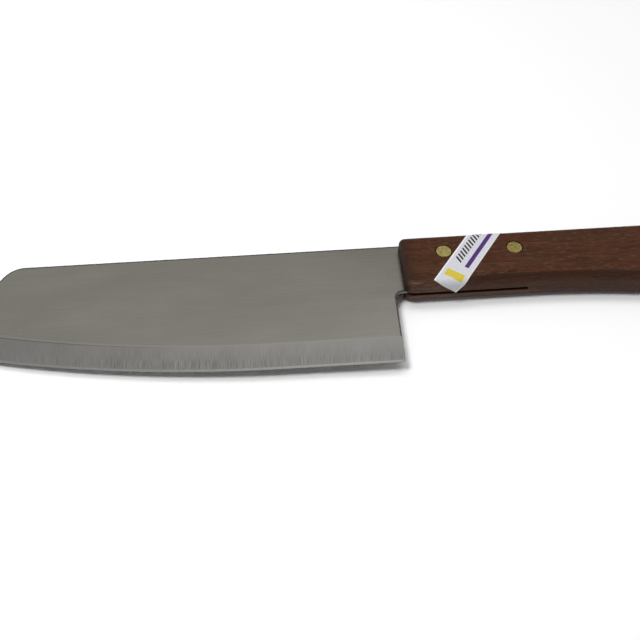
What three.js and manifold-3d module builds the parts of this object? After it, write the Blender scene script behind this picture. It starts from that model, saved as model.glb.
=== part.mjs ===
// A kitchen knife in the Thai style: a thin stamped blade whose half tang sits in the saw kerf of a one-piece
// hardwood handle, held by two cutler's rivets, with a paper label folded round the handle.
// Sizes are in millimetres. The pieces are shaped with x from the tip to the butt and 0 at the handle's front
// end, y at 0 along the spine and falling towards the cutting edge, and z at 0 in the middle of the sheet.

import * as THREE from 'three';
import { mergeVertices } from 'three/addons/utils/BufferGeometryUtils.js';
import Module from 'manifold-3d';

// Blade outline
const bladeHeight = 50.8; // spine to cutting edge, at the heel
const spineLength = 143.3; // handle to the corner where the spine and the front line would meet
const frontLean = 60; // degrees between the spine and the front line
const frontRadius = 8; // rounding between the spine and the front line
const tipDepth = 36; // spine to the corner where the front line and the belly would meet
const tipRadius = 1.6;
const bellyBreak = 103; // handle to the corner that the belly rounds off
const bellyRadius = 487;
const heelGap = 3.2; // heel line to the handle
const heelRadius = 0.6;
const neckHeight = 21.8; // spine to the lower side of the neck
const neckRadius = 2.5; // rounding between the heel line and the neck

// Blade thickness and grinding
const sheetThickness = 1.25; // the rolled sheet, left as it is on the tang
const grindDepth = 0.05; // taken off each side by the flat grinding
const flatStop = 0.4; // the ground sides stop this far ahead of the handle
const bevelWidth = 9.5; // edge to the line where the bevel starts
const bevelEndThickness = 0.4; // what the bevel alone would leave at the edge
const honeWidth = 0.8; // edge to the line where the honed facet starts
const edgeThickness = 0.1; // what the honing leaves

// Tang
const tangLength = 44.6;
const tangHeight = 16.4;
const tangRadius = 2;
const neckRun = 2; // the neck keeps its height this far into the handle
const tangTaper = 10; // and then narrows to the tang over this length

// Handle
const handleLength = 118;
const handleHeight = 23; // over the straight front part
const handleThickness = 11;
const handleEdgeRadius = 2.1; // rounding along every edge
const frontCornerEase = 0.9; // added to that rounding at the front corners, seen from the side
const swellStart = 56; // butt to the corner where the underside starts to fall
const swellStartRadius = 300;
const swellEnd = 23; // butt to the corner where it runs level again
const swellEndRadius = 150;
const swellDrop = 3.5; // fall of the underside between those corners
const buttLowerRadius = 7;
const buttUpperRadius = 6;
const buttDrop = 6; // fall of the spine at the butt
const spineBreak = 18; // butt to the corner where the spine starts to fall
const spineBreakRadius = 60;

// Saw kerf
const sawRadius = 40; // the slitting disc leaves this arc at the end of the kerf
const kerfSideGap = 0.1; // kerf wall to tang, on each side
const kerfEndGap = 1.5; // end of the tang to the deepest point of the kerf

// Rivets
const firstRivet = 15.35; // handle front to the front rivet
const lastRivet = 3.85; // rear rivet to the end of the tang
const rivetHeadDiameter = 5.5;
const rivetHeadHeight = 1.2;
const rivetHeadChamfer = 0.2;
const rivetShankDiameter = 3.6;
const rivetPinDiameter = 2.2;
const rivetPinGap = 0.15; // pin to the bore of the shank
const rivetEndGap = 0.8; // end of a shank or pin to the head that it faces
const rivetSeatGap = 0.1; // rivet to wood and to tang

// Label
const labelWidth = 10.6;
const labelLength = 34;
const labelLean = 53.5; // degrees between its long sides and the spine
const labelCornerX = 10; // handle front to the label's nearest corner
const labelCornerDepth = 21.35; // spine to that corner, down the handle's face
const labelThickness = 0.15;
const labelGlue = 0.05; // wood to paper
const labelNip = 0.1; // trimmed off its lowest and highest corners

// How finely round forms are divided
const arcSteps = 6;
const edgeRoundSteps = 5;
const rivetSides = 32;
const grindSteps = 48;
const foldSteps = 6;

const roundingRoom = 0.98; // the share of a side that the roundings at its two ends may take up together
const cutMargin = 5; // how far a cutting shape reaches past the piece that it cuts

const wasm = await Module();
wasm.setup();

const degrees = THREE.MathUtils.degToRad;

const rivetY = -tangHeight / 2; // the rivets stand on the tang's middle line
const rivetPlaces = { front: firstRivet, rear: tangLength - lastRivet };
const handleTop = handleThickness / 2;
const flatThickness = sheetThickness - 2 * grindDepth; // between the ground sides

const steel = new THREE.MeshStandardMaterial({ color: 0x8f8d88, roughness: 0.38, metalness: 1 });
const hardwood = new THREE.MeshStandardMaterial({ color: 0x5b3626, roughness: 0.6, metalness: 0 });
const brass = new THREE.MeshStandardMaterial({ color: 0xb79c58, roughness: 0.34, metalness: 1 });
const paper = new THREE.MeshStandardMaterial({ color: 0xe6e6ea, roughness: 0.5, metalness: 0 });

// A closed geometry as a solid that can be joined and cut.
function solidOf(geometry) {
  geometry.deleteAttribute('normal');
  geometry.deleteAttribute('uv');
  const merged = mergeVertices(geometry);
  const vertProperties = merged.getAttribute('position').array;
  const triVerts = new Uint32Array(merged.index.array);
  return new wasm.Manifold(new wasm.Mesh({ numProp: 3, vertProperties, triVerts }));
}

// A finished solid as a named mesh.
function piece(name, solid, material) {
  const { vertProperties, triVerts } = solid.getMesh();
  const geometry = new THREE.BufferGeometry();
  geometry.setAttribute('position', new THREE.BufferAttribute(vertProperties, 3));
  geometry.setIndex(new THREE.BufferAttribute(triVerts, 1));
  geometry.computeVertexNormals();
  const mesh = new THREE.Mesh(geometry, material);
  mesh.name = name;
  return mesh;
}

// The directions from a corner to its neighbours, half the angle between them, and how far from the corner its
// rounding starts.
function cornerForm(before, [x, y, radius], after) {
  const back = new THREE.Vector2(before[0] - x, before[1] - y).normalize();
  const ahead = new THREE.Vector2(after[0] - x, after[1] - y).normalize();
  const halfAngle = Math.acos(back.dot(ahead)) / 2;
  const setback = radius / Math.tan(halfAngle);
  return { back, ahead, halfAngle, setback };
}

// The corners of a closed outline, each given as x, y and radius. Where two roundings would run into each
// other, both radii are made smaller.
function fitRadii(corners) {
  const next = (i) => (i + 1) % corners.length;
  const setbacks = corners.map((corner, i) => cornerForm(corners.at(i - 1), corner, corners[next(i)]).setback);
  const shares = corners.map(([x, y], i) => {
    const [nextX, nextY] = corners[next(i)];
    const room = roundingRoom * Math.hypot(nextX - x, nextY - y);
    return Math.min(1, room / (setbacks[i] + setbacks[next(i)]));
  });
  return corners.map(([x, y, radius], i) => [x, y, radius * Math.min(shares.at(i - 1), shares[i])]);
}

// Draws the arc that rounds off one corner of a path. The straight line up to the arc follows by itself.
function addCorner(path, before, [x, y, radius], after) {
  const corner = new THREE.Vector2(x, y);
  const { back, ahead, halfAngle, setback } = cornerForm(before, [x, y, radius], after);
  const middle = back.clone().add(ahead).normalize();
  const centre = corner.clone().addScaledVector(middle, radius / Math.sin(halfAngle));
  const start = corner.clone().addScaledVector(back, setback).sub(centre);
  const end = corner.clone().addScaledVector(ahead, setback).sub(centre);
  const clockwise = back.cross(ahead) > 0;
  path.absarc(centre.x, centre.y, radius, start.angle(), end.angle(), clockwise);
}

// A closed outline through fitted corners.
function roundedOutline(corners) {
  const outline = new THREE.Shape();
  corners.forEach((corner, i) => {
    const before = corners.at(i - 1);
    const after = corners[(i + 1) % corners.length];
    addCorner(outline, before, corner, after);
  });
  return outline;
}

// A flat plate of an outline, centred on z = 0.
function plate(outline, thickness) {
  const options = { depth: thickness, bevelEnabled: false, curveSegments: arcSteps };
  return solidOf(new THREE.ExtrudeGeometry(outline, options).translate(0, 0, -thickness / 2));
}

// A solid of revolution about z, from a profile of [radius, z] that starts and ends on the axis.
function revolve(profile) {
  const points = profile.map(([radius, z]) => new THREE.Vector2(radius, z));
  return solidOf(new THREE.LatheGeometry(points, rivetSides).rotateX(Math.PI / 2));
}

// A solid skin through sections that all have the same number of points, closed at both ends.
function loft(sections) {
  const size = sections[0].length;
  const index = [];
  for (let s = 0; s + 1 < sections.length; s++) {
    for (let i = 0; i < size; i++) {
      const a = s * size + i;
      const b = s * size + ((i + 1) % size);
      index.push(a, b, b + size);
      index.push(a, b + size, a + size);
    }
  }
  const last = (sections.length - 1) * size;
  for (let i = 1; i + 1 < size; i++) {
    index.push(0, i + 1, i);
    index.push(last, last + i, last + i + 1);
  }
  const geometry = new THREE.BufferGeometry().setFromPoints(sections.flat());
  return solidOf(geometry.setIndex(index));
}

// The blade's corners, from the end of the tang along the spine, round the tip and back by the heel and
// the neck.
const tipReach = spineLength + tipDepth / Math.tan(degrees(frontLean));
const bladeCorners = fitRadii([
  [tangLength, 0, tangRadius],
  [-spineLength, 0, frontRadius],
  [-tipReach, -tipDepth, tipRadius],
  [-bellyBreak, -bladeHeight, bellyRadius],
  [-heelGap, -bladeHeight, heelRadius],
  [-heelGap, -neckHeight, neckRadius],
  [neckRun, -neckHeight, tangRadius],
  [neckRun + tangTaper, -tangHeight, tangRadius],
  [tangLength, -tangHeight, tangRadius],
]);
const [tipCorner, bellyCorner, heelCorner] = bladeCorners.slice(2);

// The blank as it is stamped from the sheet, with the tang's rivet holes.
function stampedBlank() {
  const outline = roundedOutline(bladeCorners);
  for (const x of Object.values(rivetPlaces)) {
    const hole = new THREE.Path();
    hole.absarc(x, rivetY, rivetShankDiameter / 2 + rivetSeatGap, 0, 2 * Math.PI);
    outline.holes.push(hole);
  }
  return plate(outline, sheetThickness);
}

// What the flat grinding takes off one side of the blade, up to just ahead of the handle.
function flatGrind(side) {
  const length = tipReach + cutMargin - flatStop;
  const height = bladeHeight + 2 * cutMargin;
  const box = new THREE.BoxGeometry(length, height, sheetThickness);
  box.translate(-flatStop - length / 2, -bladeHeight / 2, side * (flatThickness + sheetThickness) / 2);
  return solidOf(box);
}

// The wedge that one grinding of the edge leaves: a V that follows the cutting edge from behind the tang to
// ahead of the tip. It has endThickness at the edge and startThickness at width from it. Farther in it is
// thicker than the sheet.
function edgeGrind(width, startThickness, endThickness) {
  const slope = (startThickness - endThickness) / 2 / width;
  const apexDepth = endThickness / 2 / slope;
  const reach = bladeHeight + 2 * cutMargin;
  const halfOpening = slope * (reach + apexDepth);

  const rise = new THREE.Vector2(tipCorner[0] - bellyCorner[0], tipCorner[1] - bellyCorner[1]);
  const pastTip = rise.setLength(rise.length() + 2 * cutMargin);
  const endX = bellyCorner[0] + pastTip.x;
  const endY = bellyCorner[1] + pastTip.y;
  const edge = new THREE.Path();
  edge.moveTo(tangLength + cutMargin, -bladeHeight).lineTo(-heelGap, -bladeHeight);
  addCorner(edge, heelCorner, bellyCorner, tipCorner);
  edge.lineTo(endX, endY);

  const sections = [];
  for (let i = 0; i <= grindSteps; i++) {
    const { x, y } = edge.getPoint(i / grindSteps);
    const along = edge.getTangent(i / grindSteps);
    const inward = new THREE.Vector2(along.y, -along.x);
    const apex = new THREE.Vector3(x - inward.x * apexDepth, y - inward.y * apexDepth, 0);
    const farX = x + inward.x * reach;
    const farY = y + inward.y * reach;
    sections.push([
      apex,
      new THREE.Vector3(farX, farY, halfOpening),
      new THREE.Vector3(farX, farY, -halfOpening),
    ]);
  }
  return loft(sections);
}

function blade() {
  const bevelRise = (flatThickness - bevelEndThickness) / bevelWidth;
  const honeStart = bevelEndThickness + bevelRise * honeWidth;
  const bevel = edgeGrind(bevelWidth, flatThickness, bevelEndThickness);
  const hone = edgeGrind(honeWidth, honeStart, edgeThickness);
  const ground = stampedBlank().subtract(flatGrind(1)).subtract(flatGrind(-1));
  return ground.intersect(bevel).intersect(hone);
}

// The handle's block, with every edge rounded.
function handleBlock() {
  const frontCorner = handleEdgeRadius + frontCornerEase;
  const swellHeight = handleHeight + swellDrop;
  const outline = roundedOutline(fitRadii([
    [0, 0, frontCorner],
    [0, -handleHeight, frontCorner],
    [handleLength - swellStart, -handleHeight, swellStartRadius],
    [handleLength - swellEnd, -swellHeight, swellEndRadius],
    [handleLength, -swellHeight, buttLowerRadius],
    [handleLength, -buttDrop, buttUpperRadius],
    [handleLength - spineBreak, 0, spineBreakRadius],
  ]));
  const depth = handleThickness - 2 * handleEdgeRadius;
  const geometry = new THREE.ExtrudeGeometry(outline, {
    depth,
    curveSegments: arcSteps,
    bevelThickness: handleEdgeRadius,
    bevelSize: handleEdgeRadius,
    bevelOffset: -handleEdgeRadius,
    bevelSegments: edgeRoundSteps,
  });
  return solidOf(geometry.translate(0, 0, -depth / 2));
}

// The kerf, open at the front, the spine and the underside, with the disc's arc at its end.
function kerf() {
  const top = cutMargin;
  const bottom = -handleHeight - cutMargin;
  const centreX = tangLength + kerfEndGap - sawRadius;
  const lowAngle = Math.asin((bottom - rivetY) / sawRadius);
  const highAngle = Math.asin((top - rivetY) / sawRadius);
  const outline = new THREE.Shape();
  outline.moveTo(-cutMargin, top).lineTo(-cutMargin, bottom);
  outline.absarc(centreX, rivetY, sawRadius, lowAngle, highAngle);
  return plate(outline, sheetThickness + 2 * kerfSideGap);
}

// A stepped hole through the handle for one rivet: wide for the heads, narrow for the shank.
function rivetBore(x) {
  const headRadius = rivetHeadDiameter / 2 + rivetSeatGap;
  const shankRadius = rivetShankDiameter / 2 + rivetSeatGap;
  const end = handleTop + cutMargin;
  const shoulder = handleTop - rivetHeadHeight - rivetSeatGap;
  const bore = revolve([
    [0, -end],
    [headRadius, -end],
    [headRadius, -shoulder],
    [shankRadius, -shoulder],
    [shankRadius, shoulder],
    [headRadius, shoulder],
    [headRadius, end],
    [0, end],
  ]);
  return bore.translate(x, rivetY, 0);
}

function handle() {
  let wood = handleBlock().subtract(kerf());
  for (const x of Object.values(rivetPlaces)) {
    wood = wood.subtract(rivetBore(x));
  }
  return wood;
}

// The half of a rivet with the hollow shank. Its head is flush with the handle's upper face.
function rivetFemale() {
  const headRadius = rivetHeadDiameter / 2;
  const shankRadius = rivetShankDiameter / 2;
  const boreRadius = rivetPinDiameter / 2 + rivetPinGap;
  const shoulder = handleTop - rivetHeadHeight;
  const shankEnd = -shoulder + rivetEndGap;
  return revolve([
    [0, shoulder],
    [boreRadius, shoulder],
    [boreRadius, shankEnd],
    [shankRadius, shankEnd],
    [shankRadius, shoulder],
    [headRadius, shoulder],
    [headRadius, handleTop - rivetHeadChamfer],
    [headRadius - rivetHeadChamfer, handleTop],
    [0, handleTop],
  ]);
}

// The half with the pin. Its head is flush with the handle's lower face.
function rivetMale() {
  const headRadius = rivetHeadDiameter / 2;
  const pinRadius = rivetPinDiameter / 2;
  const shoulder = handleTop - rivetHeadHeight;
  const pinEnd = shoulder - rivetEndGap;
  return revolve([
    [0, -handleTop],
    [headRadius - rivetHeadChamfer, -handleTop],
    [headRadius, -handleTop + rivetHeadChamfer],
    [headRadius, -shoulder],
    [pinRadius, -shoulder],
    [pinRadius, pinEnd],
    [0, pinEnd],
  ]);
}

// A point on the handle's skin, raised off it by lift. The distance down counts from the spine along the face,
// and runs on past the face round either long edge, onto the spine or the underside.
function skinPoint(x, down, lift) {
  const radius = handleEdgeRadius;
  const faceTop = radius;
  const faceBottom = handleHeight - radius;
  const onFace = THREE.MathUtils.clamp(down, faceTop, faceBottom);
  const past = Math.abs(down - onFace);
  const side = down > onFace ? -1 : 1; // below the face, or above it
  const turn = Math.min(past / radius, Math.PI / 2);
  const straight = past - turn * radius;
  const y = -onFace + side * (radius + lift) * Math.sin(turn);
  const z = handleTop - radius + (radius + lift) * Math.cos(turn) - straight;
  return new THREE.Vector3(x, y, z);
}

// The label, cut into strips along the handle so that it folds round the long edges.
function label() {
  const lean = degrees(labelLean);
  const along = new THREE.Vector2(Math.cos(lean), -Math.sin(lean)); // x, and the distance down
  const across = new THREE.Vector2(Math.sin(lean), Math.cos(lean));
  const nearest = new THREE.Vector2(labelCornerX, labelCornerDepth);
  const lowest = nearest.clone().addScaledVector(across, labelWidth);
  const highest = nearest.clone().addScaledVector(along, labelLength);
  const farthest = lowest.clone().addScaledVector(along, labelLength);
  const corners = [nearest, lowest, farthest, highest];

  // Where the label starts and ends at one distance down.
  function span(down) {
    const hits = [];
    corners.forEach((a, i) => {
      const b = corners[(i + 1) % corners.length];
      const share = (down - a.y) / (b.y - a.y);
      if (share >= 0 && share <= 1) hits.push(a.x + share * (b.x - a.x));
    });
    return [Math.min(...hits), Math.max(...hits)];
  }

  const quarter = handleEdgeRadius * Math.PI / 2;
  const faceBottom = handleHeight - handleEdgeRadius;
  const first = highest.y + labelNip;
  const last = lowest.y - labelNip;
  const levels = [first, nearest.y, farthest.y, last];
  for (let i = 0; i <= foldSteps; i++) {
    levels.push(handleEdgeRadius - quarter * i / foldSteps);
    levels.push(faceBottom + quarter * i / foldSteps);
  }
  levels.sort((a, b) => a - b);

  const sections = [];
  let previous = -Infinity;
  for (const down of levels) {
    if (down < first || down > last || down - previous < labelGlue) continue;
    previous = down;
    const [left, right] = span(down);
    const under = labelGlue;
    const over = labelGlue + labelThickness;
    sections.push([
      skinPoint(left, down, under),
      skinPoint(right, down, under),
      skinPoint(right, down, over),
      skinPoint(left, down, over),
    ]);
  }
  return loft(sections);
}

const pieces = new THREE.Group();
pieces.add(piece('blade', blade(), steel));
pieces.add(piece('handle', handle(), hardwood));
for (const [place, x] of Object.entries(rivetPlaces)) {
  const rivet = new THREE.Group();
  rivet.position.set(x, rivetY, 0);
  rivet.add(piece(`${place}_rivet_female`, rivetFemale(), brass));
  rivet.add(piece(`${place}_rivet_male`, rivetMale(), brass));
  pieces.add(rivet);
}
pieces.add(piece('label', label(), paper));

// The part's origin lies under the middle of the knife, on the plane of the handle's lower face.
const box = new THREE.Box3().setFromObject(pieces);
const centre = box.getCenter(new THREE.Vector3());
pieces.position.set(-centre.x, -centre.y, -box.min.z);

const knife = new THREE.Group();
knife.add(pieces);

export default knife;
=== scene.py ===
import math

import bmesh
import bpy
from mathutils import Matrix, Vector


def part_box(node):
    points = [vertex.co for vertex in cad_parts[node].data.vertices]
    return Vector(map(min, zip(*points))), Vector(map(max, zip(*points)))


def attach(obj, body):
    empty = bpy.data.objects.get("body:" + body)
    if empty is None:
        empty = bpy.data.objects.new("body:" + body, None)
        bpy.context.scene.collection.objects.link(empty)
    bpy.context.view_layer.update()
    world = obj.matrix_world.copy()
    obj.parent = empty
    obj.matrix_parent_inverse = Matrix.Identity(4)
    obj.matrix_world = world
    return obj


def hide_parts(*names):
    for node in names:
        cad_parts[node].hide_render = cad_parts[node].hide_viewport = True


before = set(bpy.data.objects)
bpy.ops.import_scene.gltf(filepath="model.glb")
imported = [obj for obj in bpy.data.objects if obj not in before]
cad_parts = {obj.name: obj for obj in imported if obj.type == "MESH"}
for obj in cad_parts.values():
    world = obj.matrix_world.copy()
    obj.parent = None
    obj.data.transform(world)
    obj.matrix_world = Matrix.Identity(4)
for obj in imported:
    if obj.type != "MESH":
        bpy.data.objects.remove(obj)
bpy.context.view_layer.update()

mm = 0.001
tiny = 0.001 * mm  # points this close together are one point
bladeLow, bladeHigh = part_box("blade")
handleLow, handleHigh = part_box("handle")
sheetMiddle = (bladeLow.z + bladeHigh.z) / 2
handleFront = handleLow.x
spineY = bladeHigh.y
edgeY = bladeLow.y
print("frame loaded:", ", ".join(sorted(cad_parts)))


# node helpers

noiseRange = (0.3, 0.7)  # where most of a noise lies
noiseMiddle = 0.5


def startMaterial(name):
    material = bpy.data.materials.new(name)
    material.use_nodes = True
    tree = material.node_tree
    return material, tree, tree.nodes["Principled BSDF"]


def setInputs(tree, node, inputs):
    for key, value in inputs.items():
        socket = node.inputs[key]
        if isinstance(value, bpy.types.NodeSocket):
            tree.links.new(value, socket)
        elif socket.type == "RGBA":
            socket.default_value = (*value, 1)
        else:
            socket.default_value = value


def addNode(tree, kind, inputs, **settings):
    node = tree.nodes.new(kind)
    for name, value in settings.items():
        setattr(node, name, value)
    setInputs(tree, node, inputs)
    return node


def objectCoords(tree):
    return tree.nodes.new("ShaderNodeTexCoord").outputs["Object"]


def mapCoords(tree, name):
    return addNode(tree, "ShaderNodeUVMap", {}, uv_map=name).outputs["UV"]


def separate(tree, vector):
    return addNode(tree, "ShaderNodeSeparateXYZ", {"Vector": vector}).outputs


def grain(tree, coords, size, detail, distortion=0.0):  # noise whose marks are about size long, each way
    stretched = addNode(tree, "ShaderNodeMapping", {"Vector": coords, "Scale": [1 / s for s in size]})
    noise = addNode(tree, "ShaderNodeTexNoise", {
        "Vector": stretched.outputs["Vector"],
        "Scale": 1.0,
        "Detail": detail,
        "Distortion": distortion,
    })
    return noise.outputs["Fac"]


def spread(tree, value, fromRange, toRange):
    ranged = addNode(tree, "ShaderNodeMapRange", {
        "Value": value,
        "From Min": fromRange[0],
        "From Max": fromRange[1],
        "To Min": toRange[0],
        "To Max": toRange[1],
    })
    return ranged.outputs["Result"]


def fadeIn(tree, value, limits, share=1.0):
    return spread(tree, value, limits, (0.0, share))


def fadeOut(tree, value, limits, share=1.0):
    return spread(tree, value, limits, (share, 0.0))


def compute(tree, operation, first, second=0.0):
    return addNode(tree, "ShaderNodeMath", {0: first, 1: second}, operation=operation).outputs["Value"]


def plus(tree, first, second):
    return compute(tree, "ADD", first, second)


def minus(tree, first, second):
    return compute(tree, "SUBTRACT", first, second)


def times(tree, first, second):
    return compute(tree, "MULTIPLY", first, second)


def within(tree, value, limits):  # 1 between two limits and 0 outside
    above = compute(tree, "GREATER_THAN", value, limits[0])
    below = compute(tree, "LESS_THAN", value, limits[1])
    return times(tree, above, below)


def ramp(tree, value, places, colours):
    node = addNode(tree, "ShaderNodeValToRGB", {"Fac": value})
    elements = node.color_ramp.elements
    while len(elements) < len(places):
        elements.new(1.0)
    for element, place, colour in zip(elements, places, colours):
        element.position = place
        element.color = (*colour, 1)
    return node.outputs["Color"]


def mixColour(tree, share, first, second):  # inputs 6 and 7 of a mix node are its colours
    return addNode(tree, "ShaderNodeMix", {0: share, 6: first, 7: second}, data_type="RGBA").outputs[2]


def bump(tree, height, depth):
    node = addNode(tree, "ShaderNodeBump", {"Height": height, "Distance": depth, "Strength": 1.0})
    return node.outputs["Normal"]


# finishes

satinSteel = {
    "dark": (0.437, 0.411, 0.360),
    "light": (0.565, 0.539, 0.484),
    "toneRange": (0.25, 0.75),
    "toneLift": 0.1,
    "lineSize": (26 * mm, 0.30 * mm, 0.30 * mm),  # fine grinding lines along the blade
    "lineShare": 0.3,
    "lineDepth": 0.0003 * mm,
    "cloudSize": (34 * mm, 12 * mm, 12 * mm),
    "cloudShare": 0.55,
    "ridge": (9.5, 10.4),  # painted highlight: a faint bright line above the grind line, in millimetres from the edge
    "ridgeHighlight": 0.45,
    "neckShade": 0.22,  # painted shade: the steel is darker before the handle, above the notch
    "neckShadeAlong": (36 * mm, 8 * mm),  # handle to where the painted shade starts and is full
    "neckShadeDown": (25 * mm, 14 * mm),  # the same from the spine
    "roughness": (0.26, 0.30),
}


def makeSatinSteel():
    look = satinSteel
    material, tree, shader = startMaterial("satin steel")
    coords = objectCoords(tree)
    places = separate(tree, coords)
    up = separate(tree, mapCoords(tree, "edgeMap"))["Y"]
    lines = grain(tree, coords, look["lineSize"], detail=4)
    clouds = grain(tree, coords, look["cloudSize"], detail=2)
    tone = plus(tree, times(tree, lines, look["lineShare"]), look["toneLift"])
    tone = plus(tree, tone, times(tree, clouds, look["cloudShare"]))
    # painted highlight: a bright line just above the grind line
    tone = plus(tree, tone, fadeOut(tree, up, look["ridge"], look["ridgeHighlight"]))
    # painted shade on the steel before the handle, above the notch
    neckShadeAlong = fadeIn(tree, minus(tree, handleFront, places["X"]), look["neckShadeAlong"], look["neckShade"])
    neckShadeDown = fadeIn(tree, minus(tree, spineY, places["Y"]), look["neckShadeDown"])
    tone = minus(tree, tone, times(tree, neckShadeAlong, neckShadeDown))
    setInputs(tree, shader, {
        "Base Color": ramp(tree, tone, look["toneRange"], (look["dark"], look["light"])),
        "Metallic": 1.0,
        "Roughness": spread(tree, lines, noiseRange, look["roughness"]),
        "Normal": bump(tree, lines, look["lineDepth"]),
    })
    return material


bevelSteel = {  # places in millimetres along the edge from the heel, and up from the edge
    "dark": (0.338, 0.326, 0.311),
    "light": (0.610, 0.591, 0.563),
    "lineSize": (0.28, 5.0, 1.0),  # wheel marks across the bevel
    "lineShare": 0.8,
    "lineDepth": 0.0012 * mm,
    "fanMiddle": 53 * mm,  # handle to the mark that stands square to the edge
    "fan": -0.0025,  # the marks spread a little towards the edge
    "bandSize": (9.0, 22.0, 1.0),
    "bandShare": 0.2,
    "fadeUp": (8.6, 3.0),  # the marks grow towards the edge, and are strongest in the middle of its run
    "fadeStrength": (0.12, 0.78),
    "heelRun": (20.0, 60.0),
    "heelStrength": (0.6, 1.0),
    "tipRun": (75.0, 115.0),
    "tipStrength": (1.0, 0.5),
    "upperUp": (8.8, 2.5),
    "upperLift": (0.06, -0.05),  # a little paler under the grind line, but not towards the tip
    "liftRun": (60.0, 125.0),
    "grindShade": (9.05, 9.2),  # painted shade: a dark line under the grind line, which fades towards the heel
    "grindShadeRun": (75.0, 150.0),
    "grindShadeDrop": 0.4,
    "roughness": (0.26, 0.32),
}


def makeBevelSteel():
    look = bevelSteel
    material, tree, shader = startMaterial("cross-ground bevel")
    coords = mapCoords(tree, "edgeMap")
    places = separate(tree, coords)
    run, up = places["X"], places["Y"]
    along = separate(tree, objectCoords(tree))["X"]
    aside = compute(tree, "DIVIDE", minus(tree, along, handleFront - look["fanMiddle"]), mm)
    fanned = times(tree, aside, plus(tree, times(tree, up, look["fan"]), 1.0))
    marksAt = addNode(tree, "ShaderNodeCombineXYZ", {"X": fanned, "Y": up}).outputs["Vector"]
    marks = minus(tree, grain(tree, marksAt, look["lineSize"], detail=0), noiseMiddle)
    strength = spread(tree, run, look["heelRun"], look["heelStrength"])
    strength = times(tree, strength, spread(tree, run, look["tipRun"], look["tipStrength"]))
    strength = times(tree, strength, spread(tree, up, look["fadeUp"], look["fadeStrength"]))
    lines = plus(tree, times(tree, marks, strength), noiseMiddle)
    bands = grain(tree, coords, look["bandSize"], detail=2)
    # painted shade under the grind line
    grindShade = fadeIn(tree, up, look["grindShade"], look["grindShadeDrop"])
    lift = spread(tree, up, look["upperUp"], look["upperLift"])
    tone = plus(tree, times(tree, lines, look["lineShare"]), times(tree, bands, look["bandShare"]))
    tone = minus(tree, tone, times(tree, grindShade, fadeIn(tree, run, look["grindShadeRun"])))
    tone = plus(tree, tone, times(tree, lift, fadeOut(tree, run, look["liftRun"])))
    setInputs(tree, shader, {
        "Base Color": ramp(tree, tone, noiseRange, (look["dark"], look["light"])),
        "Metallic": 1.0,
        "Roughness": spread(tree, lines, noiseRange, look["roughness"]),
        "Normal": bump(tree, lines, look["lineDepth"]),
    })
    return material


honedSteel = {
    "dark": (0.50, 0.50, 0.49),
    "light": (0.62, 0.61, 0.60),
    "lineSize": (0.5, 3.0, 1.0),  # millimetres along the edge and up from it
    "roughness": (0.18, 0.23),
}

stampedSteel = {  # the rim, as the press left it
    "dark": (0.14, 0.135, 0.128),
    "light": (0.21, 0.203, 0.192),
    "grainSize": (1.5 * mm, 1.5 * mm, 0.4 * mm),
    "roughness": (0.40, 0.52),
}


def setPlainSteel(tree, shader, look, speckle):
    setInputs(tree, shader, {
        "Base Color": ramp(tree, speckle, noiseRange, (look["dark"], look["light"])),
        "Metallic": 1.0,
        "Roughness": spread(tree, speckle, noiseRange, look["roughness"]),
    })


def makeHonedSteel():
    material, tree, shader = startMaterial("honed edge")
    lines = grain(tree, mapCoords(tree, "edgeMap"), honedSteel["lineSize"], detail=2)
    setPlainSteel(tree, shader, honedSteel, lines)
    return material


def makeStampedSteel():
    material, tree, shader = startMaterial("stamped rim")
    speckle = grain(tree, objectCoords(tree), stampedSteel["grainSize"], detail=3)
    setPlainSteel(tree, shader, stampedSteel, speckle)
    return material


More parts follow.
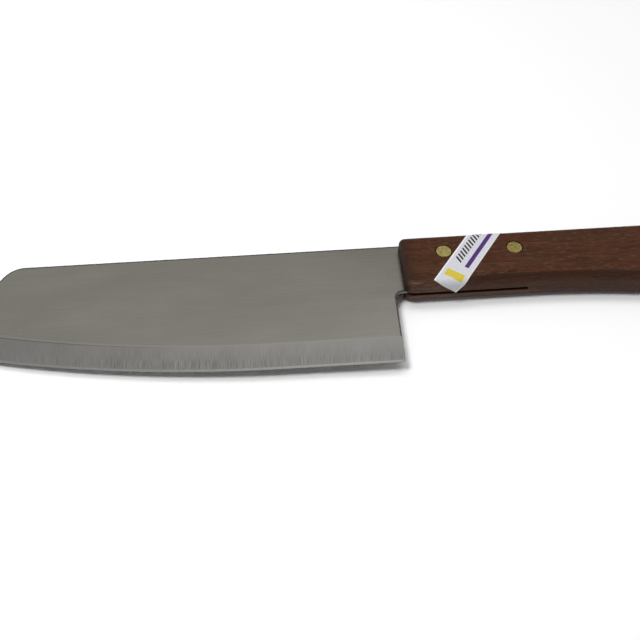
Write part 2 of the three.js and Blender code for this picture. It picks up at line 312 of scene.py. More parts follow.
oiledWood = {  # each Turn says how far the skin turns to an axis where a tint starts and where it is full
    "dark": (0.032, 0.0121, 0.0062),
    "middle": (0.060, 0.0216, 0.0096),
    "light": (0.104, 0.0408, 0.0185),
    "streakRange": (0.34, 0.5, 0.66),
    "fibreSize": (11 * mm, 0.5 * mm, 0.5 * mm),
    "fibreShare": 0.7,
    "figureSize": (35 * mm, 4 * mm, 4 * mm),
    "figureShare": 0.3,
    "fleck": (0.150, 0.0680, 0.0360),
    "fleckSize": (2.6 * mm, 0.40 * mm, 0.40 * mm),
    "fleckCut": (0.58, 0.68),
    "fleckShare": 0.75,
    "toneSize": (16 * mm, 6 * mm, 6 * mm),  # redder and more olive places
    "toneShare": 0.5,
    "red": (0.072, 0.0218, 0.0093),
    "redRange": (0.45, 0.65),
    "olive": (0.064, 0.0280, 0.0106),
    "oliveRange": (0.45, 0.3),
    "poreSize": (3.2 * mm, 0.36 * mm, 0.36 * mm),
    "poreCut": (0.56, 0.66),
    "poreShare": 0.75,
    "poreDepth": 0.05 * mm,
    "fibreRelief": 0.4,
    # the end grain's own colour, also used for the painted shade at the front end
    "endGrainAndShade": (0.019, 0.012, 0.009),
    "endTurn": (0.35, 0.95),
    "endShare": 0.8,
    "frontShade": (0.8 * mm, 5.8 * mm),  # painted shade: the face is darker towards the front end, where it slopes down
    "frontShadeShare": 0.62,
    "edgeShade": (0.026, 0.0128, 0.0082),  # the lower edge is darker, the underside less so
    "edgeTurn": (-0.04, -0.2),
    "edgeShare": 0.8,
    "underTurn": (-0.45, -0.95),
    "underShare": (1.0, 0.35),
    "spineEdge": (0.027, 0.0130, 0.0085),
    "spineTurn": (0.2, 0.65),
    "spineShare": 0.6,
    "edgeLight": (0.110, 0.0560, 0.0360),  # painted light: the lower edge is paler near the front, where its rounding catches the light
    "edgeLightRun": (14 * mm, 24 * mm),
    "edgeLightTurn": (-0.1, -0.4),
    "edgeLightShare": 0.45,
    "lipUp": (-0.65 * mm, -0.85 * mm),  # painted light: so is the strip under the kerf, up to the kerf's end
    "lipRun": (42 * mm, 52 * mm),
    "lipTurn": (-0.4, -0.7),
    "lipShare": 0.5,
    "scratch": (0.190, 0.115, 0.080),  # pale scratches on the lower edge near the front
    "scratchSize": (3.4 * mm, 0.42 * mm, 0.42 * mm),
    "scratchCut": (0.54, 0.64),
    "scratchRun": (8 * mm, 18 * mm),
    "scratchTurn": (-0.02, -0.2),
    "scratchShare": 0.55,
    "roughness": (0.48, 0.66),
    "dullTurn": (0.1, 0.5),  # the edge along the spine is duller
    "dullRoughness": 0.8,
    "specular": 0.18,
}


def makeOiledWood():
    look = oiledWood
    material, tree, shader = startMaterial("oiled hardwood")
    coords = objectCoords(tree)
    places = separate(tree, coords)
    behind = minus(tree, places["X"], handleFront)
    height = minus(tree, places["Z"], sheetMiddle)
    facing = separate(tree, tree.nodes.new("ShaderNodeNewGeometry").outputs["Normal"])
    fibres = grain(tree, coords, look["fibreSize"], detail=5)
    figure = grain(tree, coords, look["figureSize"], detail=3, distortion=0.4)
    tones = grain(tree, coords, look["toneSize"], detail=1)
    flecks = grain(tree, coords, look["fleckSize"], detail=2)
    pores = fadeIn(tree, grain(tree, coords, look["poreSize"], detail=2), look["poreCut"])
    streak = plus(tree, times(tree, fibres, look["fibreShare"]), times(tree, figure, look["figureShare"]))
    turned = fadeIn(tree, facing["Y"], look["edgeTurn"], look["edgeShare"])
    turned = times(tree, turned, spread(tree, facing["Y"], look["underTurn"], look["underShare"]))
    # painted light on the lower edge near the front
    litEdge = fadeIn(tree, facing["Y"], look["edgeLightTurn"], look["edgeLightShare"])
    litEdge = times(tree, litEdge, fadeOut(tree, behind, look["edgeLightRun"]))
    # painted light on the strip under the kerf
    lip = fadeIn(tree, height, look["lipUp"], look["lipShare"])
    lip = times(tree, lip, fadeOut(tree, behind, look["lipRun"]))
    lip = times(tree, lip, fadeIn(tree, facing["Y"], look["lipTurn"]))
    scratches = grain(tree, coords, look["scratchSize"], detail=1, distortion=0.5)
    scratches = fadeIn(tree, scratches, look["scratchCut"], look["scratchShare"])
    scratches = times(tree, scratches, fadeOut(tree, behind, look["scratchRun"]))
    scratches = times(tree, scratches, fadeIn(tree, facing["Y"], look["scratchTurn"]))
    sawn = compute(tree, "ABSOLUTE", facing["X"])
    colour = ramp(tree, streak, look["streakRange"], (look["dark"], look["middle"], look["light"]))
    for share, tint in (
        (fadeIn(tree, flecks, look["fleckCut"], look["fleckShare"]), "fleck"),
        (fadeIn(tree, tones, look["redRange"], look["toneShare"]), "red"),
        (fadeIn(tree, tones, look["oliveRange"], look["toneShare"]), "olive"),
        (times(tree, pores, look["poreShare"]), "dark"),
        # painted shade at the front end
        (fadeOut(tree, behind, look["frontShade"], look["frontShadeShare"]), "endGrainAndShade"),
        (turned, "edgeShade"),
        (fadeIn(tree, facing["Y"], look["spineTurn"], look["spineShare"]), "spineEdge"),
        # painted light on the lower edge and under the kerf
        (litEdge, "edgeLight"),
        (lip, "edgeLight"),
        (scratches, "scratch"),
        (fadeIn(tree, sawn, look["endTurn"], look["endShare"]), "endGrainAndShade"),
    ):
        colour = mixColour(tree, share, colour, look[tint])
    relief = minus(tree, times(tree, fibres, look["fibreRelief"]), pores)
    rough = spread(tree, fibres, noiseRange, look["roughness"])
    dull = fadeIn(tree, facing["Y"], look["dullTurn"], look["dullRoughness"])
    setInputs(tree, shader, {
        "Base Color": colour,
        "Roughness": compute(tree, "MAXIMUM", rough, dull),
        "Specular IOR Level": look["specular"],
        "Normal": bump(tree, relief, look["poreDepth"]),
    })
    return material


rivetBrass = {
    "dark": (0.42, 0.325, 0.10),
    "light": (0.94, 0.79, 0.295),
    "toneRange": (0.34, 0.6),
    "scratchSize": (2.2 * mm, 0.12 * mm, 1 * mm),
    "scratchTurn": math.radians(35),
    "scratchShare": 0.55,
    "scratchDepth": 0.01 * mm,
    "cloudSize": (1.1 * mm, 1.1 * mm, 1.1 * mm),
    "cloudShare": 0.45,
    "tarnish": (40.0 * mm, 55.0 * mm),  # the rear heads have dulled more
    "tarnishDrop": 0.085,
    "roughness": (0.32, 0.5),
}


def makeRivetBrass():
    look = rivetBrass
    material, tree, shader = startMaterial("ground brass")
    coords = objectCoords(tree)
    turned = addNode(tree, "ShaderNodeMapping", {"Vector": coords, "Rotation": (0, 0, look["scratchTurn"])})
    scratches = grain(tree, turned.outputs["Vector"], look["scratchSize"], detail=3)
    clouds = grain(tree, coords, look["cloudSize"], detail=3)
    tone = plus(tree, times(tree, scratches, look["scratchShare"]), times(tree, clouds, look["cloudShare"]))
    along = separate(tree, coords)["X"]
    tone = minus(tree, tone, fadeIn(tree, along, look["tarnish"], look["tarnishDrop"]))
    setInputs(tree, shader, {
        "Base Color": ramp(tree, tone, look["toneRange"], (look["dark"], look["light"])),
        "Metallic": 1.0,
        "Roughness": spread(tree, scratches, noiseRange, look["roughness"]),
        "Normal": bump(tree, scratches, look["scratchDepth"]),
    })
    return material


labelPrint = {  # places in millimetres, across from the label's upper left side and up from its lower end
    "paper": (0.66, 0.665, 0.70),
    "paperShade": (0.58, 0.585, 0.63),
    "mottleSize": (0.8, 0.8, 1.0),
    "mottleDepth": 0.01 * mm,
    "border": (0.86, 0.86, 0.88),
    "borderWidth": 0.45,
    "yellow": (0.62, 0.50, 0.05),
    "bandAcross": (1.6, 8.3),
    "bandUp": (4.2, 7.4),
    "purple": (0.075, 0.022, 0.16),
    "stripeAcross": (6.2, 7.7),
    "stripeUp": (11.0, 31.0),
    "black": (0.012, 0.012, 0.014),
    "hatchAcross": (1.6, 4.3),
    "hatchUp": (14.4, 32.0),  # whole strokes
    "hatchStep": 1.6,
    "hatchSlant": 0.6,
    "strokeShare": 0.5,
    "roughness": (0.38, 0.5),
    "specular": 0.4,
}


def makeLabelPaper():
    look = labelPrint
    material, tree, shader = startMaterial("printed label paper")
    coords = mapCoords(tree, "labelMap")
    places = separate(tree, coords)
    across, up = places["X"], places["Y"]
    mottle = grain(tree, coords, look["mottleSize"], detail=3)
    paper = ramp(tree, mottle, noiseRange, (look["paperShade"], look["paper"]))
    inside = within(tree, across, (look["borderWidth"], labelForm["width"] / mm - look["borderWidth"]))
    band = times(tree, within(tree, across, look["bandAcross"]), within(tree, up, look["bandUp"]))
    stripe = times(tree, within(tree, across, look["stripeAcross"]), within(tree, up, look["stripeUp"]))
    slant = plus(tree, up, times(tree, across, look["hatchSlant"]))
    hatch = times(tree, within(tree, across, look["hatchAcross"]), within(tree, slant, look["hatchUp"]))
    stroke = compute(tree, "FRACT", compute(tree, "DIVIDE", slant, look["hatchStep"]))
    hatch = times(tree, hatch, compute(tree, "LESS_THAN", stroke, look["strokeShare"]))
    colour = mixColour(tree, inside, look["border"], paper)
    for share, ink in ((band, "yellow"), (stripe, "purple"), (hatch, "black")):
        colour = mixColour(tree, share, colour, look[ink])
    setInputs(tree, shader, {
        "Base Color": colour,
        "Roughness": spread(tree, mottle, noiseRange, look["roughness"]),
        "Specular IOR Level": look["specular"],
        "Normal": bump(tree, mottle, look["mottleDepth"]),
    })
    return material


# piece helpers

def addObject(name, bm):
    mesh = bpy.data.meshes.new(name)
    bm.to_mesh(mesh)
    bm.free()
    thing = bpy.data.objects.new(name, mesh)
    bpy.context.scene.collection.objects.link(thing)
    return thing


def finishPiece(name, bm, finishes, slot, *nodes):
    piece = addObject(name, bm)
    for finish in finishes:
        piece.data.materials.append(finish)
    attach(piece, "root")
    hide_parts(*nodes)
    print("made", name, "with", len(piece.data.polygons), "faces")
    return piece


def smoothFaces(piece):
    piece.data.polygons.foreach_set("use_smooth", [True] * len(piece.data.polygons))


def shadeSmooth(piece, angle):
    smoothFaces(piece)
    piece.data.set_sharp_from_angle(angle=angle)
    weighted = piece.modifiers.new("weighted normals", "WEIGHTED_NORMAL")
    weighted.keep_sharp = True
    weighted.mode = "FACE_AREA"


def everything(bm):
    return bm.verts[:] + bm.edges[:] + bm.faces[:]


def onlyVerts(result):
    return [g for g in result if isinstance(g, bmesh.types.BMVert)]


def onlyEdges(result):
    return [g for g in result if isinstance(g, bmesh.types.BMEdge)]


def nearest(bm, place):
    return min(bm.verts, key=lambda v: (v.co - place).length)


def addChain(bm, points):
    verts = [bm.verts.new(point) for point in points]
    return verts, [bm.edges.new(pair) for pair in zip(verts, verts[1:])]


def farEdge(pulled, ends):  # the edges of an extrusion that lie between its new points
    return [e for e in onlyEdges(pulled) if all(v in ends for v in e.verts)]


def pullUp(bm, height):  # a flat face becomes a block
    raised = bmesh.ops.extrude_face_region(bm, geom=bm.faces[:])["geom"]
    bmesh.ops.translate(bm, verts=onlyVerts(raised), vec=(0, 0, height))
    bmesh.ops.recalc_face_normals(bm, faces=bm.faces)


def bevelRound(bm, geom, affect, offset, steps):
    bmesh.ops.bevel(bm, geom=geom, offset=offset, segments=steps, profile=0.5, affect=affect, material=-1)


def planeOff(bm, place, direction):  # everything beyond the plane goes
    bmesh.ops.bisect_plane(bm, geom=everything(bm), plane_co=place, plane_no=direction, clear_outer=True)


def planeCorner(bm, corner, firstNormal, lastNormal, radius, steps):  # rounds a corner with flat cuts
    centre = corner - (firstNormal + lastNormal) * radius / (1 + firstNormal.dot(lastNormal))
    for i in range(1, steps):
        direction = firstNormal.slerp(lastNormal, i / steps)
        planeOff(bm, centre + direction * radius, direction)


def splitAt(bm, x):
    bmesh.ops.bisect_plane(bm, geom=everything(bm), plane_co=(x, 0, 0), plane_no=(1, 0, 0))


def revolve(bm, axisPlace, profile, steps):  # profile points are (radius, height)
    chain, edges = addChain(bm, [(axisPlace.x + r, axisPlace.y, z) for r, z in profile])
    bmesh.ops.spin(
        bm, geom=chain + edges, cent=axisPlace, axis=(0, 0, 1), angle=math.tau, steps=steps, use_merge=True
    )
    bmesh.ops.remove_doubles(bm, verts=bm.verts, dist=tiny)
    bmesh.ops.recalc_face_normals(bm, faces=bm.faces)


# blade

bladeForm = {
    "heelGap": 3.2 * mm,  # handle to the heel line
    "heelRound": 0.6 * mm,
    "neckDepth": 21.8 * mm,  # spine to the lower side of the neck
    "neckRound": 2.5 * mm,
    "neckRun": 2 * mm,  # the neck keeps its height this far into the handle
    "tangTaper": 10 * mm,
    "tangDepth": 16.4 * mm,
    "tangRound": 2 * mm,
    "tangSteps": 4,
    "spineLength": 143.3 * mm,  # handle to the front line
    "frontLean": math.radians(60),
    "frontRound": 8 * mm,
    "tipDepth": 36 * mm,
    "tipRound": 1.6 * mm,
    "bellyStart": 44.8 * mm,  # handle to the end of the straight edge
    "bellyRadius": 487 * mm,
    "sideHalf": 0.575 * mm,  # middle of the sheet to a ground side
    "bevelWidth": 9.5 * mm,
    "shoulderWidth": 0.45 * mm,  # the bevel starts with a short steep shoulder
    "shoulderFall": 0.04 * mm,
    "honeWidth": 0.8 * mm,
    "honeHalf": 0.19 * mm,
    "edgeHalf": 0.05 * mm,
    "rollWidth": 0.6 * mm,  # the stamped rim rolls down a little
    "rollDrop": 0.09 * mm,
    "rollEnd": 0.12 * mm,  # its width where it meets the bevel at the heel
    "overcut": 6 * mm,  # how far the swept side reaches past the front and the spine
    "bellySteps": 72,
    "cornerSteps": 14,
    "flatNormal": 0.99999,  # a face that turns up at least this far is flat
    "lyingNormal": 0.5,  # one that turns up less belongs to the rim
    "smoothAngle": math.radians(20),
}
heelX = handleFront - bladeForm["heelGap"]
bellyX = handleFront - bladeForm["bellyStart"]
bellyMiddleY = edgeY + bladeForm["bellyRadius"]
grindY = edgeY + bladeForm["bevelWidth"]
sideTop = sheetMiddle + bladeForm["sideHalf"]


def sweepSide(bm):  # the upper side from the heel to past the tip, as an open sheet
    form = bladeForm
    profile = [
        (edgeY, form["edgeHalf"]),
        (edgeY + form["honeWidth"], form["honeHalf"]),
        (grindY - form["shoulderWidth"], form["sideHalf"] - form["shoulderFall"]),
        (grindY, form["sideHalf"]),
        (spineY + form["overcut"], form["sideHalf"]),
    ]
    _, edges = addChain(bm, [(heelX, y, sheetMiddle + half) for y, half in profile])
    pulled = bmesh.ops.extrude_edge_only(bm, edges=edges)["geom"]
    ends = onlyVerts(pulled)
    bmesh.ops.translate(bm, verts=ends, vec=(bellyX - heelX, 0, 0))
    turn = math.asin((bellyX - bladeLow.x + form["overcut"]) / form["bellyRadius"])
    bmesh.ops.spin(
        bm, geom=ends + farEdge(pulled, ends), cent=(bellyX, bellyMiddleY, sheetMiddle), axis=(0, 0, 1),
        angle=-turn, steps=form["bellySteps"],
    )


def trimSide(bm):  # the spine, the front line and the rounded corners
    form = bladeForm
    steps = form["cornerSteps"]
    lean = form["frontLean"]
    up, right, down = Vector((0, 1, 0)), Vector((1, 0, 0)), Vector((0, -1, 0))
    forward = Vector((-math.sin(lean), math.cos(lean), 0))
    spineEnd = Vector((handleFront - form["spineLength"], spineY, sheetMiddle))
    tip = spineEnd + Vector((-1 / math.tan(lean), -1, 0)) * form["tipDepth"]
    tipNormal = (tip - Vector((bellyX, bellyMiddleY, sheetMiddle))).normalized()
    heel = Vector((heelX, edgeY, sheetMiddle))
    planeOff(bm, spineEnd, up)
    planeOff(bm, spineEnd, forward)
    planeCorner(bm, spineEnd, up, forward, form["frontRound"], steps)
    planeCorner(bm, tip, forward, tipNormal, form["tipRound"], steps)
    planeCorner(bm, heel, down, right, form["heelRound"], steps)


def heelEdge(bm):  # the heel line's uppermost edge, and its point at the spine
    top = nearest(bm, Vector((heelX, spineY, sideTop)))
    edge = next(e for e in top.link_edges if abs(e.other_vert(top).co.x - heelX) < tiny)
    return top, edge


def addTang(bm):  # the neck with its rounded notch, and the tang behind it
    form = bladeForm
    neckY = spineY - form["neckDepth"]
    tangY = spineY - form["tangDepth"]
    neckEnd = handleFront + form["neckRun"]
    bmesh.ops.bisect_edges(bm, edges=[heelEdge(bm)[1]], cuts=1)
    heelTop, neckEdge = heelEdge(bm)
    notch = neckEdge.other_vert(heelTop)
    notch.co = (heelX, neckY - form["neckRound"], sideTop)
    middle = notch.co + Vector((form["neckRound"], 0, 0))
    bmesh.ops.spin(
        bm, geom=[notch], cent=middle, axis=(0, 0, 1), angle=-math.pi / 2, steps=form["cornerSteps"]
    )
    arc = [e for e in bm.edges if not e.link_faces]
    lower = nearest(bm, middle + Vector((0, form["neckRound"], 0)))
    upper = bm.verts.new((lower.co.x, spineY, sideTop))
    sides = [bm.edges.new((lower, upper)), bm.edges.new((upper, heelTop))]
    bmesh.ops.contextual_create(bm, geom=arc + sides + [neckEdge])
    edge = sides[0]
    for x, y in ((neckEnd, neckY), (neckEnd + form["tangTaper"], tangY), (bladeHigh.x, tangY)):
        pulled = bmesh.ops.extrude_edge_only(bm, edges=[edge])["geom"]
        ends = sorted(onlyVerts(pulled), key=lambda v: v.co.y)
        ends[0].co = (x, y, sideTop)
        ends[1].co = (x, spineY, sideTop)
        edge = farEdge(pulled, ends)[0]
    bevelRound(bm, ends, "VERTICES", form["tangRound"], form["tangSteps"])


def rollRim(bm):  # lowers the outer rim of the flat side, but not along the grind line
    form = bladeForm
    bmesh.ops.recalc_face_normals(bm, faces=bm.faces)
    flat = [f for f in bm.faces if abs(f.normal.z) > form["flatNormal"]]
    rim = [v for v in bm.verts if v.is_boundary and all(f in flat for f in v.link_faces)]
    places = [v.co.copy() for v in rim]
    bmesh.ops.inset_region(
        bm, faces=flat, use_boundary=True, use_even_offset=True, thickness=form["rollWidth"], depth=0
    )
    for place in places:
        nearest(bm, place).co.z -= form["rollDrop"]
    grindEnd = nearest(bm, Vector((heelX - form["rollWidth"], grindY, sideTop)))
    grindEnd.co.x = heelX - form["rollEnd"]


def edgePlace(co):  # millimetres along the cutting edge from the heel, and up from it
    form = bladeForm
    straight = form["bellyStart"] - form["heelGap"]
    if co.x > bellyX:
        return (bellyX - co.x + straight) / mm, (co.y - edgeY) / mm
    turn = math.atan2(bellyX - co.x, bellyMiddleY - co.y)
    depth = form["bellyRadius"] - math.hypot(bellyX - co.x, bellyMiddleY - co.y)
    return (turn * form["bellyRadius"] + straight) / mm, depth / mm


def makeBlade():
    form = bladeForm
    bm = bmesh.new()
    sweepSide(bm)
    trimSide(bm)
    addTang(bm)
    bmesh.ops.remove_doubles(bm, verts=bm.verts, dist=tiny)
    rollRim(bm)
    lower = bmesh.ops.duplicate(bm, geom=everything(bm))["geom"]
    flip = Matrix.Translation((0, 0, 2 * sheetMiddle)) @ Matrix.Diagonal((1, 1, -1, 1))
    bmesh.ops.transform(bm, matrix=flip, verts=onlyVerts(lower))
    bmesh.ops.bridge_loops(bm, edges=[e for e in bm.edges if e.is_boundary])
    bmesh.ops.recalc_face_normals(bm, faces=bm.faces)
    finishes = [makeSatinSteel(), makeBevelSteel(), makeHonedSteel(), makeStampedSteel()]
    satin, bevel, honed, stamped = range(len(finishes))
    edgeMap = bm.loops.layers.uv.new("edgeMap")
    for face in bm.faces:
        depth = edgePlace(face.calc_center_median())[1]
        lying = abs(face.normal.z)
        if lying > form["lyingNormal"] and depth < form["bevelWidth"] / mm:
            face.material_index = honed if depth < form["honeWidth"] / mm else bevel
        else:
            face.material_index = satin if lying > form["flatNormal"] else stamped
        for loop in face.loops:
            loop[edgeMap].uv = edgePlace(loop.vert.co)
    piece = finishPiece("ground_blade", bm, finishes, "blade_steel", "blade")
    shadeSmooth(piece, form["smoothAngle"])


# handle

handleForm = {
    "edgeRound": 2.1 * mm,
    "faceRound": 3.0 * mm,  # the lower long edge is rounder, behind the label and on the side that lies down
    "faceRun": (20 * mm, 30 * mm),  # handle front to where the rounding starts to grow and is full
    "underRound": 4.6 * mm,
    "underRun": (0, 1 * mm),
    "runSteps": 6,
    "roundSteps": 8,
    "height": 23 * mm,  # over the straight front part
    "frontRound": 3 * mm,
    "spineCornerRound": 2.3 * mm,
    "swellStart": 56 * mm,  # butt to the corner where the underside starts to fall
    "swellStartRound": 300 * mm,
    "swellEnd": 23 * mm,
    "swellEndRound": 150 * mm,
    "buttLowerRound": 7 * mm,
    "buttUpperRound": 6 * mm,
    "buttDrop": 6 * mm,
    "spineBreak": 18 * mm,
    "spineBreakRound": 60 * mm,
    "arcSteps": 16,
    "sawRadius": 40 * mm,
    "kerfReach": 1.5 * mm,  # end of the tang to the deepest point of the kerf
    "kerfHalf": 0.64 * mm,
    "cutReach": 5 * mm,  # how far the cutters stand out of the wood
    "smoothAngle": math.radians(25),
}
underY = spineY - handleForm["height"]


def roundOff(bm, place, radius, steps):  # rounds one corner of a flat face
    vert = nearest(bm, place)
    arms = [(e.other_vert(vert).co - vert.co).normalized() for e in vert.link_edges]
    halfAngle = arms[0].angle(arms[1]) / 2
    bevelRound(bm, [vert], "VERTICES", radius / math.tan(halfAngle), steps)


def easeLongEdge(bm, faceZ, wanted, run):  # widens the rounding of the lower long edge along one face
    radius = handleForm["edgeRound"]
    growth = wanted / radius - 1
    inwards = 1 if faceZ < sheetMiddle else -1
    start = handleFront + run[0]
    length = run[1] - run[0]
    for i in range(handleForm["runSteps"] + 1):
        splitAt(bm, start + length * i / handleForm["runSteps"])
    bm.normal_update()
    moves = []
    for vert in bm.verts:
        height = (vert.co.z - faceZ) * inwards
        if height < radius + tiny:
            outward = Vector((vert.normal.x, vert.normal.y, 0)).normalized()
            inset = radius - math.sqrt(max(0, radius ** 2 - (radius - height) ** 2))
            begun = min(max((vert.co.x - start) / length, 0), 1)
            share = growth * begun * max(0, -outward.y) ** 2
            moves.append((vert, Vector((0, 0, height * share * inwards)) - outward * inset * share))
    for vert, move in moves:
        vert.co += move


def handleBlock():
    form = handleForm
    butt = handleHigh.x
    corners = [
        (handleFront, spineY, form["spineCornerRound"]),
        (handleFront, underY, form["frontRound"]),
        (butt - form["swellStart"], underY, form["swellStartRound"]),
        (butt - form["swellEnd"], handleLow.y, form["swellEndRound"]),
        (butt, handleLow.y, form["buttLowerRound"]),
        (butt, spineY - form["buttDrop"], form["buttUpperRound"]),
        (butt - form["spineBreak"], spineY, form["spineBreakRound"]),
    ]
    bm = bmesh.new()
    places = [Vector((x, y, handleLow.z)) for x, y, _ in corners]
    bm.faces.new([bm.verts.new(place) for place in places])
    for place, (_, _, radius) in zip(places, corners):
        roundOff(bm, place, radius, form["arcSteps"])
    pullUp(bm, handleHigh.z - handleLow.z)
    rims = [e for e in bm.edges if abs(e.verts[0].co.z - e.verts[1].co.z) < tiny]
    bevelRound(bm, rims, "EDGES", form["edgeRound"], form["roundSteps"])
    easeLongEdge(bm, handleHigh.z, form["faceRound"], form["faceRun"])
    easeLongEdge(bm, handleLow.z, form["underRound"], form["underRun"])
    return bm


def kerfCutter():  # what the saw took out, with the disc's arc at its end
    form = handleForm
    reach = form["cutReach"]
    radius = form["sawRadius"]
    discX = bladeHigh.x + form["kerfReach"] - radius
    discY = spineY - bladeForm["tangDepth"] / 2
    startY = underY - reach
    endY = spineY + reach
    startAngle = math.asin((startY - discY) / radius)
    endAngle = math.asin((endY - discY) / radius)
    low = sheetMiddle - form["kerfHalf"]
    bm = bmesh.new()
    start = bm.verts.new((discX + radius * math.cos(startAngle), startY, low))
    bmesh.ops.spin(
        bm, geom=[start], cent=(discX, discY, low), axis=(0, 0, 1), angle=endAngle - startAngle,
        steps=form["arcSteps"],
    )
    front = [bm.verts.new((handleFront - reach, y, low)) for y in (endY, startY)]
    end = max((v for v in bm.verts if v not in front), key=lambda v: v.co.y)
    for pair in ((end, front[0]), front, (front[1], start)):
        bm.edges.new(pair)
    bmesh.ops.contextual_create(bm, geom=bm.edges[:])
    pullUp(bm, 2 * form["kerfHalf"])
    return bm


def rivetAxis(place):
    low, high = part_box(f"{place}_rivet_female")
    return Vector(((low.x + high.x) / 2, (low.y + high.y) / 2, 0))


def boreCutter(place):  # wide for the heads and narrow for the shank
    form = rivetForm
    reach = handleForm["cutReach"]
    head = form["headRadius"] + form["seatGap"]
    shank = form["shankRadius"] + form["shankGap"]
    floor = handleLow.z + form["headHeight"] + form["shankGap"]
    ceiling = handleHigh.z - form["headHeight"] - form["shankGap"]
    bm = bmesh.new()
    revolve(bm, rivetAxis(place), [
        (0, handleLow.z - reach),
        (head, handleLow.z - reach),
        (head, floor),
        (shank, floor),
        (shank, ceiling),
        (head, ceiling),
        (head, handleHigh.z + reach),
        (0, handleHigh.z + reach),
    ], form["sides"])
    return bm


def cutAway(piece, cutters):  # applied at once, so the cutters don't stay in the scene
    for bm in cutters:
        tool = addObject("cutter", bm)
        cut = piece.modifiers.new("cut", "BOOLEAN")
        cut.operation = "DIFFERENCE"
        cut.solver = "EXACT"
        cut.object = tool
        shaped = piece.evaluated_get(bpy.context.evaluated_depsgraph_get())
        piece.data = bpy.data.meshes.new_from_object(shaped)
        piece.modifiers.clear()
        bpy.data.objects.remove(tool)


def makeHandle():
    piece = finishPiece("wood_handle", handleBlock(), [makeOiledWood()], "handle_wood", "handle")
    cutAway(piece, [kerfCutter(), boreCutter("front"), boreCutter("rear")])
    shadeSmooth(piece, handleForm["smoothAngle"])


# rivets

rivetForm = {
    "headRadius": 2.75 * mm,
    "headHeight": 1.2 * mm,
    "headEase": 0.22 * mm,
    "crown": 0.03 * mm,  # the ground head is a touch higher in its middle
    "shankRadius": 1.8 * mm,
    "shankGap": 0.1 * mm,
    "seatGap": 0.3 * mm,  # head to wood
    "pinRadius": 1.1 * mm,
    "boreGap": 0.15 * mm,
    "endGap": 0.8 * mm,
    "easeSteps": 3,
    "sides": 64,
    "smoothAngle": math.radians(35),
}


def headProfile(face, inward):  # the rounded head from its side to its middle, face outwards
    form = rivetForm
    ease = form["headEase"]
    points = []
    for i in range(form["easeSteps"] + 1):
        angle = math.pi / 2 * i / form["easeSteps"]
        radius = form["headRadius"] - ease * (1 - math.cos(angle))
        points.append((radius, face + inward * (form["crown"] + ease * (1 - math.sin(angle)))))
    points.append((form["headRadius"] / 2, face + inward * form["crown"] / 4))  # as on a parabola
    points.append((0, face))
    return points


def makeRivet(place, brass):
    form = rivetForm
    axis = rivetAxis(place)
    ceiling = handleHigh.z - form["headHeight"]
    floor = handleLow.z + form["headHeight"]
    bore = form["pinRadius"] + form["boreGap"]
    female = bmesh.new()
    revolve(female, axis, [
        (0, ceiling),
        (bore, ceiling),
        (bore, floor + form["endGap"]),
        (form["shankRadius"], floor + form["endGap"]),
        (form["shankRadius"], ceiling),
        (form["headRadius"], ceiling),
        *headProfile(handleHigh.z, -1),
    ], form["sides"])
    male = bmesh.new()
    revolve(male, axis, [
        (0, ceiling - form["endGap"]),
        (form["pinRadius"], ceiling - form["endGap"]),
        (form["pinRadius"], floor),
        (form["headRadius"], floor),
        *headProfile(handleLow.z, 1),
    ], form["sides"])
    for half, bm in (("female", female), ("male", male)):
        node = f"{place}_rivet_{half}"
        piece = finishPiece(f"brass_{node}", bm, [brass], "rivet_brass", node)
        shadeSmooth(piece, form["smoothAngle"])


# label

labelForm = {
    "width": 9.85 * mm,
    "length": 34 * mm,
    "lean": math.radians(53.5),
    "cornerX": 9.8 * mm,  # handle front to the nearest corner
    "cornerDown": 21.5 * mm,  # spine to that corner, down the face
    "glue": 0.05 * mm,
    "paper": 0.12 * mm,
    "curl": 0.25 * mm,  # the lowest corner has come up a little
    "curlReach": 5 * mm,
    "steps": (16, 96),
    "gridHalf": 0.5,  # half of the plain grid that is laid on the handle
}


def skinPoint(x, down, lift):  # on the handle's skin, down from the spine and round its long edges
    radius = handleForm["edgeRound"]
    onFace = min(max(down, radius), handleForm["height"] - radius)
    past = abs(down - onFace)
    side = -1 if down > onFace else 1
    turn = min(past / radius, math.pi / 2)
    straight = past - turn * radius
    y = -onFace + side * (radius + lift) * math.sin(turn)
    z = handleHigh.z - radius + (radius + lift) * math.cos(turn) - straight
    return Vector((handleFront + x, spineY + y, z))


def flatPlace(co):  # across the flat label and along it
    half = labelForm["gridHalf"]
    return (co.x + half) * labelForm["width"], (co.y + half) * labelForm["length"]


def makeLabel():
    form = labelForm
    lean = form["lean"]
    columns, rows = form["steps"]
    bm = bmesh.new()
    bmesh.ops.create_grid(bm, x_segments=columns, y_segments=rows, size=form["gridHalf"])
    labelMap = bm.loops.layers.uv.new("labelMap")
    for face in bm.faces:
        for loop in face.loops:
            across, along = flatPlace(loop.vert.co)
            loop[labelMap].uv = (across / mm, along / mm)
    for vert in bm.verts:
        across, along = flatPlace(vert.co)
        x = form["cornerX"] + along * math.cos(lean) + across * math.sin(lean)
        down = form["cornerDown"] - along * math.sin(lean) + across * math.cos(lean)
        fromCorner = math.hypot(form["width"] - across, along)
        curl = form["curl"] * max(0, 1 - fromCorner / form["curlReach"]) ** 2
        vert.co = skinPoint(x, down, form["glue"] + form["paper"] + curl)
    bmesh.ops.recalc_face_normals(bm, faces=bm.faces)
    if sum(f.normal.z for f in bm.faces) < 0:
        bmesh.ops.reverse_faces(bm, faces=bm.faces)
    piece = finishPiece("paper_label", bm, [makeLabelPaper()], "label_paper", "label")
    smoothFaces(piece)
    sheet = piece.modifiers.new("paper", "SOLIDIFY")
    sheet.thickness = form["paper"]
    sheet.offset = -1


makeBlade()
makeHandle()
brass = makeRivetBrass()
for place in ("front", "rear"):
    makeRivet(place, brass)
makeLabel()
print("knife dressed")


# stage

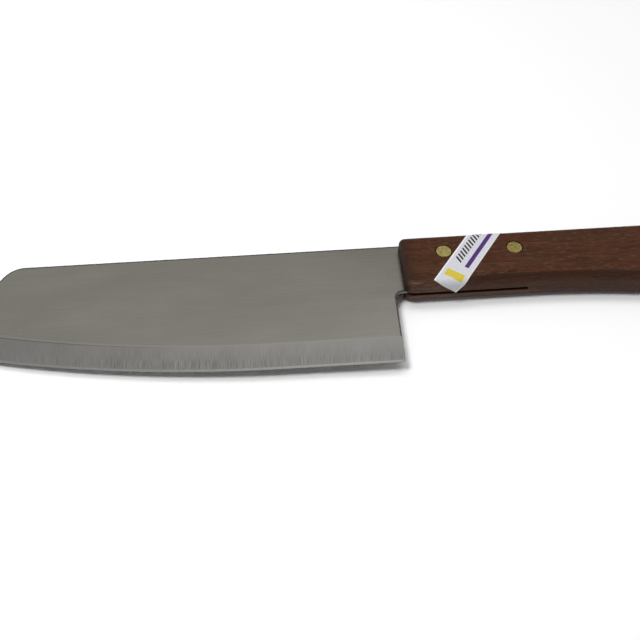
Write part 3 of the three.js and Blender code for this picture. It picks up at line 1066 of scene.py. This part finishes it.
floorForm = {
    "colour": (1.0, 1.0, 1.0),
    "roughness": 0.9,
    "half": 6.0,
    "nearRise": math.radians(4),  # the paper rises a little under the blade, at first more
    "nearRun": 8 * mm,
    "rise": math.radians(0.9),
    "paleFrom": (0.35, 0.9),  # metres from the knife: past the lamps' reach the floor shows as plain white
}


def seenRays(tree):  # 1 for what the camera sees, straight and in the metal
    rays = tree.nodes.new("ShaderNodeLightPath").outputs
    return rays["Is Camera Ray"], rays["Is Glossy Ray"]


def makeFloor():
    form = floorForm
    restX = handleFront + handleForm["edgeRound"]
    bendX = restX - form["nearRun"]
    bm = bmesh.new()
    bmesh.ops.create_grid(bm, x_segments=2, y_segments=1, size=form["half"])
    bmesh.ops.translate(bm, verts=bm.verts, vec=(restX, 0, handleLow.z))
    splitAt(bm, bendX)
    for vert in bm.verts:
        near = min(max(0, restX - vert.co.x), form["nearRun"])
        beyond = max(0, bendX - vert.co.x)
        vert.co.z += near * math.tan(form["nearRise"]) + beyond * math.tan(form["rise"])
    floor = addObject("pale_floor", bm)
    material, tree, shader = startMaterial("pale floor")
    setInputs(tree, shader, {
        "Base Color": form["colour"],
        "Roughness": form["roughness"],
        "Specular IOR Level": 0.0,
    })
    away = addNode(tree, "ShaderNodeVectorMath", {0: objectCoords(tree)}, operation="LENGTH").outputs["Value"]
    seen = compute(tree, "MAXIMUM", *seenRays(tree))
    paper = addNode(tree, "ShaderNodeEmission", {"Strength": 1.0})
    mixed = addNode(tree, "ShaderNodeMixShader", {
        0: times(tree, fadeIn(tree, away, form["paleFrom"]), seen),
        1: shader.outputs["BSDF"],
        2: paper.outputs["Emission"],
    })
    tree.links.new(mixed.outputs["Shader"], tree.nodes["Material Output"].inputs["Surface"])
    floor.data.materials.append(material)


lightForm = {  # ranges are parts of a direction: X to the butt, Y to the far side, Z up
    "acrossX": (-0.5, 0.3),
    "skyAcross": (0.370, 0.310),  # sky level towards the tip and towards the butt
    "frontY": (-0.6, 0.1),
    "skyFront": 0.45,  # share of its light that is left on the near side
    "lowZ": (0.0, 0.5),
    "skyLow": 0.35,  # share that is left at the horizon
    "wallZ": (0.30, 0.08),  # the pale wall that the metal shows round the stage, from its upper end down
    "glowX": (-0.45, 0.05),  # a soft glow in the sky, over the heel
    "glowFarY": (0.64, 0.52),
    "glowNearY": (-0.1, 0.3),
    "glowLevel": 0.30,
    "lamps": (  # direction, distance, size and power
        ("top strip", (-0.36, -0.08, 1.0), 1.0, (0.28, 0.25), 5.15),
        ("back softbox", (0.0, 0.30, 0.954), 1.2, (1.0, 0.36), 4.5),
    ),
}


def makeSky():
    form = lightForm
    world = bpy.data.worlds.new("studio")
    bpy.context.scene.world = world
    world.use_nodes = True
    tree = world.node_tree
    direction = separate(tree, tree.nodes.new("ShaderNodeTexCoord").outputs["Generated"])
    straight, mirrored = seenRays(tree)
    across = spread(tree, direction["X"], form["acrossX"], form["skyAcross"])
    rising = spread(tree, direction["Z"], form["lowZ"], (form["skyLow"], 1.0))
    behind = spread(tree, direction["Y"], form["frontY"], (form["skyFront"], 1.0))
    behind = compute(tree, "MAXIMUM", behind, mirrored)
    sky = times(tree, times(tree, across, rising), behind)
    glow = fadeIn(tree, direction["X"], form["glowX"], form["glowLevel"])
    for limits in (form["glowFarY"], form["glowNearY"]):
        glow = times(tree, glow, fadeIn(tree, direction["Y"], limits))
    wall = times(tree, fadeIn(tree, direction["Z"], form["wallZ"]), mirrored)
    white = compute(tree, "MAXIMUM", straight, wall)
    shown = addNode(tree, "ShaderNodeMix", {0: white, 2: plus(tree, sky, glow), 3: 1.0}).outputs[0]
    setInputs(tree, tree.nodes["Background"], {"Color": (1, 1, 1), "Strength": shown})


def makeLamps():
    for name, direction, distance, size, power in lightForm["lamps"]:
        lamp = bpy.data.lights.new(name, "AREA")
        lamp.shape = "RECTANGLE"
        lamp.size, lamp.size_y = size
        lamp.energy = power
        softbox = bpy.data.objects.new(name, lamp)
        away = Vector(direction).normalized()
        side = Vector((away.z, 0, -away.x)).normalized()  # its long side runs along the knife
        turn = Matrix((side, away.cross(side), away)).transposed().to_4x4()
        softbox.matrix_world = Matrix.Translation(away * distance) @ turn
        softbox.visible_glossy = False  # the steel shows the soft sky and not the lamps
        bpy.context.scene.collection.objects.link(softbox)


cameraForm = {
    "eye": (-7.93 * mm, -138.44 * mm, 181.02 * mm),
    "target": (-7.755 * mm, -7.0 * mm, 6.195 * mm),
    "roll": math.radians(-3.25),
    "lens": 36,
    "sensor": 36,
    "clipStart": 0.01,
}


def makeCamera():
    form = cameraForm
    eye = Vector(form["eye"])
    data = bpy.data.cameras.new("camera")
    data.lens = form["lens"]
    data.sensor_width = form["sensor"]
    data.clip_start = form["clipStart"]
    camera = bpy.data.objects.new("camera", data)
    look = (Vector(form["target"]) - eye).to_track_quat("-Z", "Y").to_matrix().to_4x4()
    camera.matrix_world = Matrix.Translation(eye) @ look @ Matrix.Rotation(form["roll"], 4, "Z")
    bpy.context.scene.collection.objects.link(camera)
    bpy.context.scene.camera = camera


makeFloor()
makeSky()
makeLamps()
makeCamera()
bpy.context.scene.view_settings.view_transform = "Standard"
print("stage set")
